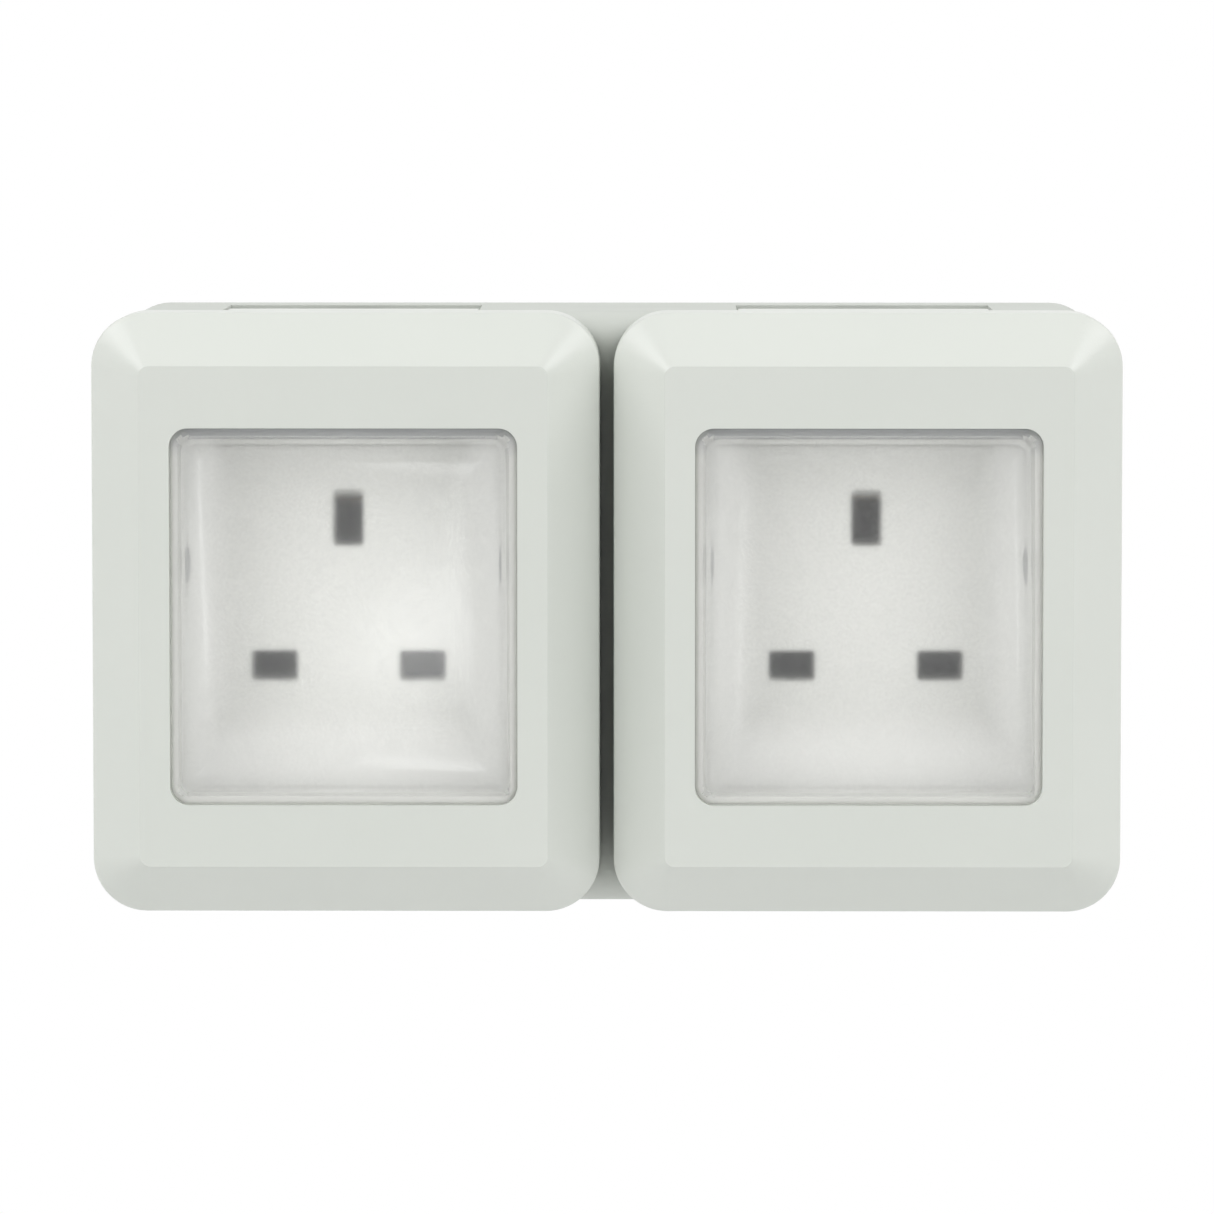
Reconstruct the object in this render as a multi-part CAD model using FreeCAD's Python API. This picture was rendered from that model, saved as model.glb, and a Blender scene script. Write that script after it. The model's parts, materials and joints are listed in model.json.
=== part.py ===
import FreeCAD, Part
import math
import os

os.makedirs("parts", exist_ok=True)

# Frame: mm, X to the right, Y towards the wall, Z up
# The origin is on the wall, behind the middle of the two lids

# Lids
overall_depth = 60.5
lid_width = 75.5
lid_height = 89.3
lid_gap = 2.1
lid_corner_r = 8.0
lid_wall = 2.2
bevel_depth = 8.6
bevel_inset = 7.6
bevel_corner_r = 1.5
lid_edge_r = 0.9
lid_back_gap = 0.8
skirt_rib_t = 1.8
gang_x = (lid_width + lid_gap) / 2
front_y = -overall_depth
bevel_back_y = front_y + bevel_depth

# Windows, soft moulded membranes
window_side_margin = 4.45
window_end_margin = 9.15
window_width = lid_width - 2 * bevel_inset - 2 * window_side_margin
window_height = lid_height - 2 * bevel_inset - 2 * window_end_margin
window_corner_r = 2.8
window_fit = 0.1
window_sink = 0.9
window_flange = 2.2
window_flange_t = 1.2
window_edge_r = 0.35
window_border = 1.4
window_groove = 0.6
window_groove_depth = 1.0
window_bead = 0.7
window_bead_sink = 0.3
pane_sink = 0.8
pane_t = 1.0
retainer_t = 1.5
stake_r = 1.2
stake_head = 0.3
stake_x = window_width / 2 - 1.7
stake_z = window_height / 2 + 4.7

# Front housing
body_side_setback = 1.35
body_top_setback = 0.35
body_bottom_drop = 0.05
body_width = 2 * gang_x + lid_width - 2 * body_side_setback
body_corner_r = 7.0
lid_depth = 19.9
body_front_y = front_y + lid_depth
body_edge_r = 5.0
body_wall = 2.2
body_top = lid_height / 2 - body_top_setback
body_bottom = -lid_height / 2 - body_bottom_drop
body_height = body_top - body_bottom

# Raised collar round each socket
collar_side_inset = 3.45
collar_end_inset = 5.75
collar_width = lid_width - 2 * collar_side_inset
collar_height = lid_height - 2 * collar_end_inset
collar_corner_r = 5.5
collar_wall = 2.2
collar_rise = 10.0
collar_front_y = body_front_y - collar_rise

# Hinges
lug_width = 38.0
lug_side_gap = 0.35
lug_drop = 0.25
lug_r = 5.0
lug_plate_t = 2.4
lug_back_gap = 2.2
hinge_y = -19.2
hinge_z = body_top - lug_drop - lug_r
pin_r = 1.5
pin_reach = 4.0
pin_length = lug_width + 2 * pin_reach
cheek_t = 4.5
pocket_back_t = 1.6
spring_gap = 8.0
running_gap = 0.06
fixed_gap = 0.03

# Lid spring, wound round the hinge pin
lid_wire_r = 0.3
lid_coil_r = 2.05
lid_coil_turns = 5
lid_coil_pitch = 1.0
lid_leg_front = 9.0
lid_leg_up = 1.7
lid_leg_down = 4.7
leg_fit = 0.15

# Back box
split_y = -10.0
split_gap = 0.2
back_wall = 3.0
inner_side_gap = 2.8
inner_bottom_gap = 3.8
inner_top_gap = 1.15
inner_width = body_width - 2 * inner_side_gap
inner_bottom = body_bottom + inner_bottom_gap
inner_corner_r = 5.0
inner_setback = 10.1
inner_front_y = body_front_y + inner_setback
seal_t = 2.0
seal_squeeze_gap = 0.05
wall_hole_r = 2.4
wall_hole_inset = 12.4
wall_hole_drop = 6.4
wall_hole_x = inner_width / 2 - wall_hole_inset
tie_rib_t = 1.8
tie_rib_x = 6.2
tie_rib_z = 15.0
wall_pad_r = 6.0
wall_pad_t = 1.5

# Cable entries and their grommets
entry_r = 10.25
entry_y = -14.0
entry_block_width = 28.0
entry_block_front_y = -27.0
entry_fit = 0.3
grommet_flange_r = 12.0
grommet_flange_t = 1.4
grommet_lip_r = 11.2
grommet_lip_t = 1.2
grommet_skin = 1.0

# Socket faces, with the spacing of a 13 A plug's pins
plate_t = 1.9
plate_fit = 0.3
plate_ledge = 3.4
opening_corner_r = 2.0
plate_edge_r = 0.4
pin_spacing = 22.23
earth_z = 13.6
live_z = earth_z - pin_spacing
live_x = pin_spacing / 2
earth_slot_width = 4.5
earth_slot_height = 8.4
live_slot_width = 6.9
live_slot_height = 4.5
slot_corner_r = 0.5
slot_wall = 1.5
tub_above_earth = 11.4
tub_below_live = 15.4
tub_bottom = live_z - tub_below_live
tub_top = earth_z + tub_above_earth
tub_wall = 2.0
tub_depth = 3.9
tub_back_y = body_front_y + tub_depth
tub_fit = 0.5

# Housing screws, through the socket faces
screw_inset = 3.9
screw_z = 6.5
screw_r = 1.75
screw_head_r = 2.8
screw_head_t = 1.9
screw_length = 19.0
boss_r = 3.2
boss_fit = 0.4
boss_foot_r = 4.2
boss_foot_y = -14.0
boss_gap = 0.7
boss_rib_t = 1.6

# Contact carrier
carrier_gap = 0.1
carrier_depth = 21.0
carrier_front_y = tub_back_y + carrier_gap
carrier_back_y = carrier_front_y + carrier_depth
carrier_wall = 2.0
shutter_room = 2.4
cavity_wall = 1.5
web_t = 2.0
web_front_y = carrier_back_y - 6.0
web_back_y = web_front_y + web_t
web_lip = 1.1
web_lip_back_y = carrier_back_y - 0.9
carrier_screw_inset = 4.7
carrier_screw_r = 1.3
carrier_head_r = 2.4
carrier_head_t = 1.6
carrier_boss_r = 2.8
carrier_boss_back_y = carrier_front_y + 6.6

# Shutters
shutter_t = 2.1
shutter_travel = 6.5
shutter_overhang = 4.6
shutter_half_width = live_x + shutter_overhang
shutter_blade_height = 7.2
shutter_stem_width = 6.0
ramp_back_y = carrier_front_y + 6.8
ramp_low_z = earth_z - 5.1
ramp_top_z = earth_z + 2.2
shutter_corner_r = 1.0
shutter_gap = 0.1
shutter_spring_r = 1.2
shutter_wire_r = 0.18
shutter_spring_turns = 6
shutter_spring_low_z = tub_bottom + 2.6

# Brass bars and their clips
leaf_t = 0.7
leaf_root = 3.3
leaf_pinch = 1.75
leaf_mouth = 2.8
leaf_bend = 3.0
clip_back_y = carrier_back_y - 3.0
live_clip_front_y = clip_back_y - 13.2
live_clip_width = 6.0
earth_clip_front_y = clip_back_y - 10.6
earth_clip_width = 7.0
bar_t = 1.0
bar_height = 5.0
neutral_bar_drop = 7.5
line_bar_rise = 6.5
earth_bar_rise = 5.0
neutral_bar_z = live_z - neutral_bar_drop
line_bar_z = live_z + line_bar_rise
earth_bar_z = earth_z + earth_bar_rise
terminal_width = 8.0
terminal_height = 9.0
terminal_depth = 8.0
terminal_front_y = clip_back_y - 0.8
terminal_back_y = terminal_front_y + terminal_depth
terminal_x = 7.0
wire_hole_r = 2.4
wire_hole_y = terminal_front_y + 3.8
terminal_screw_r = 1.7
terminal_screw_tip_y = terminal_front_y + 6.0
terminal_screw_head_r = 2.6
terminal_screw_head_t = 1.8
terminal_screw_head_y = terminal_back_y + 2.9

# Gaskets
gasket_t = 1.95
gasket_rest_gap = 0.15
gasket_inset = 0.2
gasket_seat_depth = 3.2
gasket_lip_r = 0.6

# How far a cutter runs past a face, and how far a rib sinks into what carries it
past = 1.0
merge = 0.5

X = FreeCAD.Vector(1, 0, 0)
Y = FreeCAD.Vector(0, 1, 0)
Z = FreeCAD.Vector(0, 0, 1)


def block(x0, x1, y0, y1, z0, z1):
    corner = FreeCAD.Vector(x0, y0, z0)
    return Part.makeBox(x1 - x0, y1 - y0, z1 - z0, corner)


def rounded_wire(cx, cz, width, height, radius, y):
    # A rectangle with round corners, in a plane that faces the viewer
    side = width / 2 - radius
    rise = height / 2 - radius
    corners = [(side, rise, 0), (-side, rise, 90), (-side, -rise, 180), (side, -rise, 270)]
    edges = []
    first = None
    last = None
    for dx, dz, start in corners:
        points = []
        for angle in (start, start + 45, start + 90):
            turn = math.radians(angle)
            px = cx + dx + radius * math.cos(turn)
            pz = cz + dz + radius * math.sin(turn)
            points.append(FreeCAD.Vector(px, y, pz))
        if last is None:
            first = points[0]
        else:
            edges.append(Part.makeLine(last, points[0]))
        edges.append(Part.Arc(points[0], points[1], points[2]).toShape())
        last = points[2]
    edges.append(Part.makeLine(last, first))
    return Part.Wire(edges)


def slab(cx, cz, width, height, radius, y0, y1):
    wire = rounded_wire(cx, cz, width, height, radius, y0)
    return Part.Face(wire).extrude(Y * (y1 - y0))


def ring(cx, cz, width, height, radius, wall, y0, y1):
    outer = slab(cx, cz, width, height, radius, y0, y1)
    inner_r = max(radius - wall, 0.4)
    inner = slab(cx, cz, width - 2 * wall, height - 2 * wall, inner_r, y0 - past, y1 + past)
    return outer.cut(inner)


def tapered(cx, back, front):
    # A solid between two rounded rectangles, given as width, height, radius and y
    wires = []
    for width, height, radius, y in (back, front):
        wires.append(rounded_wire(cx, 0, width, height, radius, y))
    return Part.makeLoft(wires, True, True)


def rod(x, y, z, radius, length, axis):
    return Part.makeCylinder(radius, length, FreeCAD.Vector(x, y, z), axis)


def prism(points, start, length):
    # A closed outline of vectors, pushed along an axis
    shifted = []
    for point in points:
        shifted.append(point + start)
    wire = Part.makePolygon(shifted + [shifted[0]])
    return Part.Face(wire).extrude(length)


def wire_along(path, radius):
    # A thin round wire, six-sided so that it stays light, lofted along a list of points
    sections = []
    for index, point in enumerate(path):
        before = path[max(index - 1, 0)]
        after = path[min(index + 1, len(path) - 1)]
        heading = (after - before).normalize()
        side = heading.cross(X + Y * 0.01)
        if side.Length < 0.3:
            side = heading.cross(Z)
        side.normalize()
        up = side.cross(heading)
        corners = []
        for step in range(6):
            turn = math.radians(60 * step)
            corners.append(point + side * (radius * math.cos(turn)) + up * (radius * math.sin(turn)))
        sections.append(Part.makePolygon(corners + [corners[0]]))
    return Part.makeLoft(sections, True, True)


def edges_at(shape, y, wanted):
    # The edges that lie in one plane facing the viewer and pass a test
    found = []
    for edge in shape.Edges:
        box = edge.BoundBox
        if abs(box.YMin - y) < 0.01 and abs(box.YMax - y) < 0.01 and wanted(box):
            found.append(edge)
    return found


def any_edge(box):
    return True


def screw_places():
    places = []
    for cx in (-gang_x, gang_x):
        for side in (-1, 1):
            places.append((cx + side * screw_x, screw_z))
    return places


def carrier_screw_places(cx):
    reach = tub_width / 2 - carrier_screw_inset
    return [(cx - reach, tub_top - carrier_screw_inset), (cx + reach, tub_bottom + carrier_screw_inset)]


# Derived places
skirt_back_y = body_front_y - lid_back_gap
housing_back_y = split_y - split_gap
body_z = (body_top + body_bottom) / 2
lug_half = lug_width / 2
pocket_half = lug_half + lug_side_gap
lug_top = hinge_z + lug_r
lug_under = lug_top - lug_plate_t
pocket_back_y = hinge_y + lug_r + lug_back_gap
pocket_floor_z = hinge_z - lug_r - 0.3
inner_top = pocket_floor_z - body_wall - inner_top_gap
inner_height = inner_top - inner_bottom
inner_z = (inner_top + inner_bottom) / 2
wall_hole_z = inner_top - wall_hole_drop
notch_z = lug_under - 0.6
plate_front_y = body_front_y - plate_t
plate_width = collar_width - 2 * collar_wall - 2 * plate_fit
plate_height = collar_height - 2 * collar_wall - 2 * plate_fit
plate_corner_r = collar_corner_r - collar_wall - plate_fit
screw_x = plate_width / 2 - screw_inset
boss_front_y = body_front_y + 0.05
tub_width = 2 * (screw_x - boss_r - boss_gap)
web_reach = gang_x - tub_width / 2 + boss_gap
tub_z = (tub_top + tub_bottom) / 2
tub_height = tub_top - tub_bottom
carrier_wall_y = carrier_front_y + shutter_room
carrier_inside_y = carrier_wall_y + carrier_wall
housing_inside_y = body_front_y + body_wall
pane_front_y = front_y + window_sink + pane_sink
lid_inside_y = front_y + lid_wall
shutter_front_y = carrier_front_y + shutter_gap
shutter_back_y = shutter_front_y + shutter_t
blade_top_z = live_z + shutter_blade_height / 2
blade_low_z = live_z - shutter_blade_height / 2
gasket_front_y = collar_front_y - gasket_rest_gap - gasket_t


def lid_outside(cx):
    # The cap with its bevel, before it is hollowed
    skirt = slab(cx, 0, lid_width, lid_height, lid_corner_r, bevel_back_y, skirt_back_y)
    back = (lid_width, lid_height, lid_corner_r, bevel_back_y)
    face_width = lid_width - 2 * bevel_inset
    face_height = lid_height - 2 * bevel_inset
    front = (face_width, face_height, bevel_corner_r, front_y)
    cap = skirt.fuse(tapered(cx, back, front)).removeSplitter()
    rim = edges_at(cap, bevel_back_y, any_edge)
    return cap.makeFillet(lid_edge_r, rim)


def lid_hollow(cx):
    slope = math.atan2(bevel_depth, bevel_inset)
    front_shift = lid_wall * math.tan(slope / 2)
    back_shift = lid_wall * math.tan((math.pi / 2 - slope) / 2)
    width = lid_width - 2 * lid_wall
    height = lid_height - 2 * lid_wall
    radius = lid_corner_r - lid_wall
    start_y = bevel_back_y + back_shift
    space = slab(cx, 0, width, height, radius, start_y, skirt_back_y + past)
    narrow_width = lid_width - 2 * bevel_inset - 2 * front_shift
    narrow_height = lid_height - 2 * bevel_inset - 2 * front_shift
    back = (width, height, radius, start_y)
    front = (narrow_width, narrow_height, bevel_corner_r * 0.8, lid_inside_y)
    return space.fuse(tapered(cx, back, front))


def hinge_lug(cx):
    # The arm over the housing and the barrel round the pin, open in the middle for the spring
    plate = block(cx - lug_half, cx + lug_half, skirt_back_y - 4.6, hinge_y, lug_under, lug_top)
    barrel = rod(cx - lug_half, hinge_y, hinge_z, lug_r, lug_width, X)
    lug = plate.fuse(barrel)
    half = spring_gap / 2
    gap_low = hinge_z - lug_r - past
    under = block(cx - half, cx + half, hinge_y - lug_r - past, hinge_y + past, gap_low, lug_under)
    behind = block(cx - half, cx + half, hinge_y, hinge_y + lug_r + past, gap_low, lug_top + past)
    bore = rod(cx - lug_half - past, hinge_y, hinge_z, pin_r + running_gap, lug_width + 2 * past, X)
    leg_x = cx + lid_coil_pitch * lid_coil_turns / 2
    leg_y = hinge_y - lid_leg_front
    leg_hole = rod(leg_x, leg_y, lug_under - past, lid_wire_r + leg_fit, lid_leg_up + past, Z)
    return lug.cut(under).cut(behind).cut(bore).cut(leg_hole)


def lid_frame(cx):
    outside = lid_outside(cx)
    shell = outside.cut(lid_hollow(cx))
    seat_width = collar_width + 2 * gasket_inset
    seat_height = collar_height + 2 * gasket_inset
    seat_wall = collar_wall + 2 * gasket_inset
    seat_front_y = gasket_front_y - gasket_seat_depth
    seat = ring(cx, 0, seat_width, seat_height, collar_corner_r, seat_wall, seat_front_y, gasket_front_y)
    shell = shell.fuse(seat.common(outside))
    for side in (-1, 1):
        for rise in (-1, 1):
            stake_length = window_flange_t + retainer_t + stake_head + merge
            stake = rod(cx + side * stake_x, lid_inside_y - merge, rise * stake_z, stake_r, stake_length, Y)
            shell = shell.fuse(stake)
    # Ribs that stiffen the skirt on each side of the hinge
    for side in (-1, 1):
        rib_x = cx + side * (lug_half - skirt_rib_t / 2)
        half = skirt_rib_t / 2
        rib = block(rib_x - half, rib_x + half, bevel_back_y - lid_wall, skirt_back_y, lug_under, body_top)
        shell = shell.fuse(rib.common(outside))
    opening = slab(cx, 0, window_width, window_height, window_corner_r, front_y - past, lid_inside_y + past)
    return shell.fuse(hinge_lug(cx)).cut(opening).removeSplitter()


def window_membrane(cx):
    # From outside in: flange behind the lid, border, groove, thin bead and pane
    flange_width = window_width + 2 * window_flange
    flange_height = window_height + 2 * window_flange
    flange_back_y = lid_inside_y + window_flange_t
    flange_r = window_corner_r + window_flange
    flange = slab(cx, 0, flange_width, flange_height, flange_r, lid_inside_y, flange_back_y)
    border_y = front_y + window_sink
    width = window_width - 2 * window_fit
    height = window_height - 2 * window_fit
    plug = slab(cx, 0, width, height, window_corner_r, border_y, lid_inside_y)
    body = flange.fuse(plug).removeSplitter()
    soft_edge = edges_at(body, border_y, any_edge)
    body = body.makeFillet(window_edge_r, soft_edge)
    inset = window_border
    groove_y = border_y + window_groove_depth
    groove_r = window_corner_r - inset / 2
    groove = ring(cx, 0, width - 2 * inset, height - 2 * inset, groove_r, window_groove, border_y - past, groove_y)
    inset = inset + window_groove
    bead_r = groove_r - window_groove / 2
    bead_y = border_y + window_bead_sink
    above_bead = slab(cx, 0, width - 2 * inset, height - 2 * inset, bead_r, border_y - past, bead_y)
    inset = inset + window_bead
    pane_r = bead_r - window_bead / 2
    above_pane = slab(cx, 0, width - 2 * inset, height - 2 * inset, pane_r, border_y - past, pane_front_y)
    pane_back_y = pane_front_y + pane_t
    behind_pane = slab(cx, 0, width - 2 * inset, height - 2 * inset, pane_r, pane_back_y, flange_back_y + past)
    return body.cut(groove).cut(above_bead).cut(above_pane).cut(behind_pane)


def window_retainer(cx):
    front = lid_inside_y + window_flange_t + 0.05
    back = front + retainer_t
    width = window_width + 2 * window_flange + 1.8
    height = 2 * stake_z + 5.2
    frame = slab(cx, 0, width, height, window_corner_r, front, back)
    hole = slab(cx, 0, window_width - 1, window_height - 1, window_corner_r, front - 1, back + 1)
    frame = frame.cut(hole)
    for side in (-1, 1):
        for rise in (-1, 1):
            bore = rod(cx + side * stake_x, front - 1, rise * stake_z, stake_r + fixed_gap, retainer_t + 2, Y)
            frame = frame.cut(bore)
    return frame


def lid_gasket(cx):
    width = collar_width - 2 * gasket_inset
    height = collar_height - 2 * gasket_inset
    wall = collar_wall - 2 * gasket_inset
    back = gasket_front_y + gasket_t
    body = ring(cx, 0, width, height, collar_corner_r, wall, gasket_front_y + 0.05, back)
    lips = edges_at(body, back, any_edge)
    return body.makeFillet(gasket_lip_r, lips)


def collar(cx):
    wall = ring(cx, 0, collar_width, collar_height, collar_corner_r, collar_wall, collar_front_y, body_front_y + 0.5)
    rim = edges_at(wall, collar_front_y, any_edge)
    return wall.makeFillet(0.6, rim)


def hinge_housing(cx):
    # Closed pocket for the lug, with thick cheeks that hold the pin
    outer = pocket_half + cheek_t
    back = pocket_back_y + pocket_back_t
    return block(cx - outer, cx + outer, housing_inside_y - 0.5, back, pocket_floor_z - body_wall, body_top - 1)


def hinge_cuts(cx):
    pocket = block(
        cx - pocket_half, cx + pocket_half, housing_inside_y, pocket_back_y, pocket_floor_z, body_top + 1
    )
    notch = block(cx - pocket_half, cx + pocket_half, body_front_y - 1, housing_inside_y + 1, notch_z, body_top + 1)
    bore_half = pocket_half + cheek_t + 1
    bore = rod(cx - bore_half, hinge_y, hinge_z, pin_r + fixed_gap, 2 * bore_half, X)
    return pocket.fuse(notch).fuse(bore)


def spring_stop(cx):
    # The fixed leg of the lid spring presses forward on this rib
    leg_x = cx - lid_coil_pitch * lid_coil_turns / 2
    rib_back = hinge_y + lid_coil_r - lid_wire_r - 0.05
    return block(leg_x - 0.8, leg_x + 0.8, rib_back - 1.4, rib_back, pocket_floor_z - 0.5, hinge_z - 3.2)


def plate_opening(cx):
    # Opening behind the socket face, which leaves a ledge at the sides and the bottom
    half = collar_width / 2 - collar_wall - plate_ledge
    low = plate_ledge + collar_wall - collar_height / 2
    high = tub_top + tub_fit
    width = 2 * half
    front = body_front_y - past
    back = housing_inside_y + past
    return slab(cx, (low + high) / 2, width, high - low, opening_corner_r, front, back)


def front_housing():
    outer = slab(0, body_z, body_width, body_height, body_corner_r, body_front_y, housing_back_y)
    front_edges = edges_at(outer, body_front_y, any_edge)
    outer = outer.makeFillet(body_edge_r, front_edges)
    inner_r = body_corner_r - body_wall
    width = body_width - 2 * body_wall
    height = body_height - 2 * body_wall
    hollow = slab(0, body_z, width, height, inner_r, housing_inside_y, housing_back_y + past)
    front_edges = edges_at(hollow, housing_inside_y, any_edge)
    shell = outer.cut(hollow.makeFillet(body_edge_r - body_wall, front_edges))
    rib_back_y = inner_front_y - seal_t - 2 * seal_squeeze_gap
    rib = ring(0, inner_z, inner_width, inner_height, inner_corner_r, body_wall, housing_inside_y - 0.5, rib_back_y)
    shell = shell.fuse(rib)
    for cx in (-gang_x, gang_x):
        shell = shell.fuse(collar(cx))
        shell = shell.fuse(hinge_housing(cx))
    for cx in (-gang_x, gang_x):
        shell = shell.cut(hinge_cuts(cx))
        shell = shell.cut(plate_opening(cx))
        half = entry_block_width / 2 + entry_fit
        slot_front = entry_block_front_y - entry_fit
        entry = block(cx - half, cx + half, slot_front, housing_back_y + 1, body_bottom - 1, inner_bottom - 0.4)
        shell = shell.cut(entry)
        shell = shell.fuse(spring_stop(cx))
    for x, z in screw_places():
        shell = shell.cut(rod(x, body_front_y - past, z, boss_r + boss_fit, body_wall + 2 * past, Y))
    return shell.removeSplitter()


def boss_ribs():
    # Webs from the outer bosses to the side walls, and one between the two middle bosses
    half = boss_rib_t / 2
    inside = inner_width / 2 - body_wall
    ribs = block(-gang_x + screw_x, gang_x - screw_x, boss_foot_y, merge - back_wall, screw_z - half, screw_z + half)
    for side in (-1, 1):
        near = side * (gang_x + screw_x)
        far = side * (inside + merge)
        rib = block(min(near, far), max(near, far), inner_front_y, merge - back_wall, screw_z - half, screw_z + half)
        ribs = ribs.fuse(rib)
    return ribs


def back_box():
    tray = slab(0, body_z, body_width, body_height, body_corner_r, split_y, 0)
    inner_r = body_corner_r - body_wall
    width = body_width - 2 * body_wall
    height = body_height - 2 * body_wall
    tray = tray.cut(slab(0, body_z, width, height, inner_r, split_y - 1, -back_wall))
    wall = ring(0, inner_z, inner_width, inner_height, inner_corner_r, body_wall, inner_front_y, 0.5 - back_wall)
    box = tray.fuse(wall)
    for x, z in screw_places():
        box = box.fuse(rod(x, boss_front_y, z, boss_r, merge - back_wall - boss_front_y, Y))
        box = box.fuse(rod(x, boss_foot_y, z, boss_foot_r, merge - back_wall - boss_foot_y, Y))
    box = box.fuse(boss_ribs())
    for cx in (-gang_x, gang_x):
        half = entry_block_width / 2
        low = inner_bottom + body_wall
        box = box.fuse(block(cx - half, cx + half, entry_block_front_y, -1, body_bottom, low))
    # Ribs that tie the tray to the inner wall
    half = tie_rib_t / 2
    for x in (-gang_x - tie_rib_x, 0, gang_x + tie_rib_x):
        box = box.fuse(block(x - half, x + half, split_y, -back_wall / 2, inner_top - merge, body_top - merge))
    for side in (-1, 1):
        for z in (inner_z - tie_rib_z, inner_z + tie_rib_z):
            near = side * (inner_width / 2 - merge)
            far = side * (body_width / 2 - merge)
            rib = block(min(near, far), max(near, far), split_y, -back_wall / 2, z - half, z + half)
            box = box.fuse(rib)
    for side in (-1, 1):
        for rise in (-1, 1):
            x = side * wall_hole_x
            z = rise * wall_hole_z
            box = box.fuse(rod(x, -back_wall - wall_pad_t, z, wall_pad_r, wall_pad_t + 0.5, Y))
            box = box.cut(rod(x, -back_wall - wall_pad_t - 1, z, wall_hole_r, back_wall + wall_pad_t + 2, Y))
    for x, z in screw_places():
        bore_length = plate_front_y + screw_length - boss_front_y + 2 * past
        box = box.cut(rod(x, boss_front_y - past, z, screw_r + fixed_gap, bore_length, Y))
    for cx in (-gang_x, gang_x):
        box = box.cut(rod(cx, entry_y, body_bottom - 1, entry_r, 12, Z))
        sink_r = grommet_flange_r + 0.15
        box = box.cut(rod(cx, entry_y, body_bottom - 1, sink_r, 1 + grommet_flange_t + 0.2, Z))
    return box.removeSplitter()


def entry_grommet(cx):
    # Turned shape: flush flange, neck through the wall, lip inside and a thin skin to pierce
    wall_low = body_bottom + grommet_flange_t + 0.2
    wall_high = inner_bottom + body_wall
    neck_r = entry_r - 0.1
    low = body_bottom + 0.1
    profile = [
        (0, wall_low + 2.5),
        (neck_r * 0.55, wall_low + 1.6),
        (neck_r * 0.55, low),
        (grommet_flange_r, low),
        (grommet_flange_r, wall_low - 0.05),
        (neck_r, wall_low - 0.05),
        (neck_r, wall_high + 0.05),
        (grommet_lip_r, wall_high + 0.05),
        (neck_r, wall_high + grommet_lip_t),
        (neck_r * 0.75, wall_high + grommet_lip_t),
        (neck_r * 0.75, wall_low + 1.6 + grommet_skin),
        (0, wall_low + 2.5 + grommet_skin),
    ]
    points = []
    for radius, z in profile:
        points.append(FreeCAD.Vector(radius, 0, z))
    face = Part.Face(Part.makePolygon(points + [points[0]]))
    body = face.revolve(FreeCAD.Vector(0, 0, 0), Z, 360)
    body.translate(FreeCAD.Vector(cx, entry_y, 0))
    return body


def housing_seal():
    front = inner_front_y - seal_t - seal_squeeze_gap
    back = inner_front_y - seal_squeeze_gap
    inset = 0.2
    width = inner_width - 2 * inset
    height = inner_height - 2 * inset
    return ring(0, inner_z, width, height, inner_corner_r, body_wall - 2 * inset, front, back)


def slot_shape(cx, kind, grow, y0, y1):
    # One pin aperture, or a block round it when grow is more than nothing
    if kind == "earth":
        centre = (cx, earth_z)
        size = (earth_slot_width, earth_slot_height)
    else:
        side = -1 if kind == "neutral" else 1
        centre = (cx + side * live_x, live_z)
        size = (live_slot_width, live_slot_height)
    width = size[0] + 2 * grow
    height = size[1] + 2 * grow
    return slab(centre[0], centre[1], width, height, slot_corner_r + grow / 2, y0, y1)


def socket_face(cx):
    plate = slab(cx, 0, plate_width, plate_height, plate_corner_r, plate_front_y, body_front_y)
    plate = plate.makeFillet(plate_edge_r, edges_at(plate, plate_front_y, any_edge))
    start = body_front_y - 0.5
    face = plate.fuse(ring(cx, tub_z, tub_width, tub_height, 1.5, tub_wall, start, tub_back_y))
    for kind in ("earth", "neutral", "line"):
        face = face.fuse(slot_shape(cx, kind, slot_wall, start, tub_back_y))
    for x, z in carrier_screw_places(cx):
        face = face.fuse(rod(x, start, z, carrier_boss_r, tub_back_y - start, Y))
    for kind in ("earth", "neutral", "line"):
        face = face.cut(slot_shape(cx, kind, 0, plate_front_y - 1, tub_back_y + 1))
    for x, z in carrier_screw_places(cx):
        face = face.cut(rod(x, plate_front_y + 0.9, z, carrier_screw_r + fixed_gap, 8, Y))
    for side in (-1, 1):
        x = cx + side * screw_x
        face = face.cut(rod(x, plate_front_y - 1, screw_z, screw_r + running_gap, 5, Y))
        face = face.cut(screw_head_cone(x, screw_z, plate_front_y, 0.1))
    return face.removeSplitter()


def screw_head_cone(x, z, y, grow):
    # Countersunk head, widest where it is flush with the plate
    start = FreeCAD.Vector(x, y - 0.01 - grow, z)
    return Part.makeCone(screw_head_r + 2 * grow, screw_r + grow, screw_head_t - 0.1, start, Y)


def housing_screws():
    screws = []
    for x, z in screw_places():
        head = screw_head_cone(x, z, plate_front_y + 0.06, 0)
        shank = rod(x, plate_front_y + 1, z, screw_r, screw_length - 1, Y)
        screw = head.fuse(shank)
        slot = block(x - 0.45, x + 0.45, plate_front_y - 1, plate_front_y + 0.9, z - 4, z + 4)
        screws.append(screw.cut(slot))
    return Part.makeCompound(screws)


def contact_cavities(cx):
    spaces = []
    for side in (-1, 1):
        x = cx + side * live_x
        spaces.append((x - 5, x + 5, live_z - 4.5, live_z + 4.5))
    spaces.append((cx - 4.5, cx + 4.5, earth_z - 6, earth_z + 6))
    return spaces


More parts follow.
